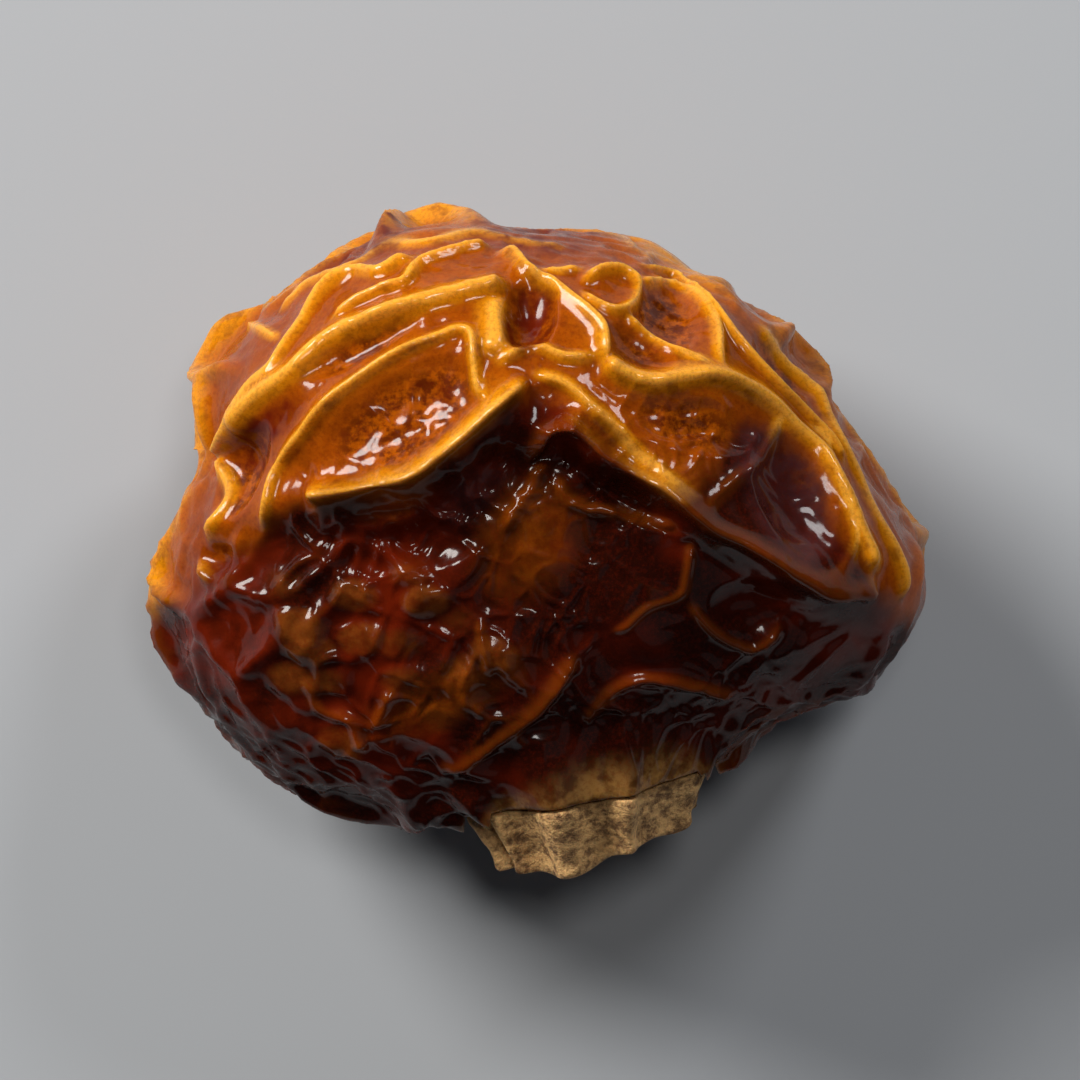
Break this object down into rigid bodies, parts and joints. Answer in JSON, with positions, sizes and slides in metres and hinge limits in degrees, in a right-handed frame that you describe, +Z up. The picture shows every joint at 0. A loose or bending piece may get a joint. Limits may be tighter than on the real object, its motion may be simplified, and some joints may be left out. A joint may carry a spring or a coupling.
{
  "type": "dried physalis berry",
  "caption": "Dried golden berry, shrunken and deeply wrinkled, with an overhanging folded crown and a corky stem scar on a short pleated neck.",
  "frame": {"origin": "centre of the bounding box at the underside, on the surface the berry rests on", "axes": "+Z up from the resting surface, +X along the berry's longest side, -Y towards the stem end"},
  "size_m": [0.0196, 0.0168, 0.0129],
  "materials": {
    "skin": "gloss",
    "cork": "matte"
  },
  "bodies": {
    "root": {"berry": "skin", "stem_scar": "cork"}
  },
  "joints": []
}
